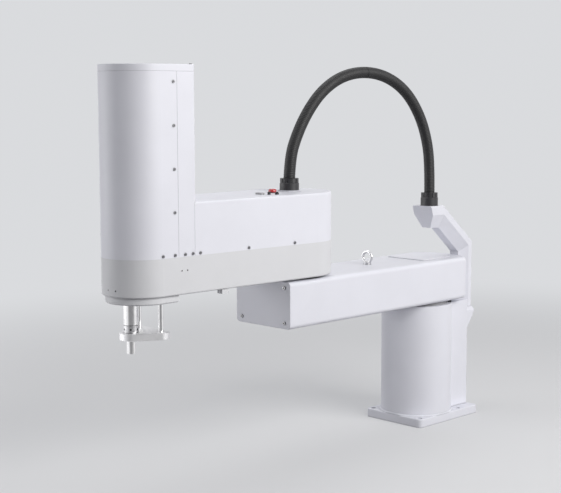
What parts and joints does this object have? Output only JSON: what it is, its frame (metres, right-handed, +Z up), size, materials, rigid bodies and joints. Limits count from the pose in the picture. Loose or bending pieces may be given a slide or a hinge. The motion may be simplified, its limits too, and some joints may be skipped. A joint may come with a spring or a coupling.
{
  "type": "scara robot",
  "caption": "Four-axis SCARA robot: column base with cable bracket, two stacked arms, tall covered vertical axis with quill and tool shaft, and a corrugated cable hose.",
  "frame": {"origin": "on the shoulder axis, at the foot plate's mounting face", "axes": "+Z up along the shoulder axis, +X along the stretched arms towards the tool shaft, +Y to the arm's left"},
  "size_m": [1.5192, 0.248, 1.1647],
  "materials": {
    "white_paint": "smooth semi-gloss powder coat",
    "white_cover": "satin moulded cover",
    "grey_plastic": "matt",
    "oxide_steel": "black oxide",
    "grey_paint": "satin light grey coat",
    "black_plastic": "matt",
    "dark_case": "satin black",
    "steel": "ground",
    "screw_steel": "zinc plated",
    "aluminium": "clear anodised",
    "rubber": "matt",
    "red_lens": "translucent red",
    "bronze": "machined",
    "hose": "matt ribbed"
  },
  "bodies": {
    "base": {"base_casting": "white_paint", "rear_panel": "white_paint", "panel_screws": "screw_steel", "power_connector": "black_plastic", "signal_connector": "black_plastic", "base_air_ports": "steel", "cable_bracket": "white_paint", "bracket_screws": "screw_steel", "base_gland": "black_plastic", "base_gland_collar": "black_plastic", "shoulder_motor": "dark_case", "shoulder_reducer": "steel", "shoulder_seal": "rubber", "shoulder_stop_blocks": "rubber"},
    "inner_arm": {"inner_arm_casting": "white_paint", "inner_end_plate": "white_paint", "end_plate_screws": "screw_steel", "inner_hatch": "white_paint", "lifting_eye": "steel", "shoulder_flange": "aluminium", "shoulder_stop_pin": "steel", "elbow_reducer": "steel", "elbow_seal": "rubber", "cable_conduit": "hose"},
    "outer_arm": {"outer_arm_tub": "grey_paint", "rear_cover": "white_cover", "tall_rear_cover": "white_cover", "tall_front_cover": "white_cover", "tall_lid": "white_cover", "lid_screws": "oxide_steel", "cover_screws": "oxide_steel", "seam_screws": "oxide_steel", "quill_mouth": "grey_paint", "rod_bushings": "bronze", "quill_bushing": "bronze", "elbow_hub": "steel", "elbow_motor": "dark_case", "elbow_stop_blocks": "grey_paint", "gland_plate": "white_paint", "arm_gland": "black_plastic", "arm_gland_collar": "black_plastic", "indicator_lamp": "red_lens", "lamp_base": "black_plastic", "button_bezel": "black_plastic", "arm_air_fitting": "black_plastic", "arm_socket": "grey_plastic", "axis_mast": "aluminium", "lift_motor": "dark_case", "screw_bearings": "steel"},
    "z_carriage": {"carriage_plate": "aluminium", "ball_nut": "steel", "guide_rods": "steel", "quill": "steel", "quill_collar": "steel", "link_plate": "aluminium", "tool_motor": "dark_case"},
    "tool_shaft": {"tool_shaft": "steel"},
    "ball_screw": {"lead_screw": "steel"},
    "brake_button": {"brake_button": "black_plastic"}
  },
  "joints": [
    {"name": "shoulder", "type": "hinge", "parent": "base", "child": "inner_arm", "pos_m": [0, 0, 0], "axis": [0, 0, 1], "range_deg": [-125, 125]},
    {"name": "elbow", "type": "hinge", "parent": "inner_arm", "child": "outer_arm", "pos_m": [0.6, 0, 0], "axis": [0, 0, 1], "range_deg": [-140, 140]},
    {"name": "lift", "type": "slide", "parent": "outer_arm", "child": "z_carriage", "axis": [0, 0, -1], "range_m": [0, 0.42]},
    {"name": "tool_turn", "type": "hinge", "parent": "z_carriage", "child": "tool_shaft", "pos_m": [1.2, 0, 0], "axis": [0, 0, 1], "range_deg": [-360, 360]},
    {"name": "screw_turn", "type": "hinge", "parent": "outer_arm", "child": "ball_screw", "pos_m": [1.1, 0, 0], "axis": [0, 0, 1], "range_deg": [-1, 7561]},
    {"name": "brake_button_press", "type": "slide", "parent": "outer_arm", "child": "brake_button", "axis": [0, 0, -1], "range_m": [0, 0.002], "stiffness_N_per_m": 800, "springref_m": -0.001}
  ],
  "couplings": [
    {"joint": "screw_turn", "follows": "lift", "rad_per_m": 314.16}
  ]
}
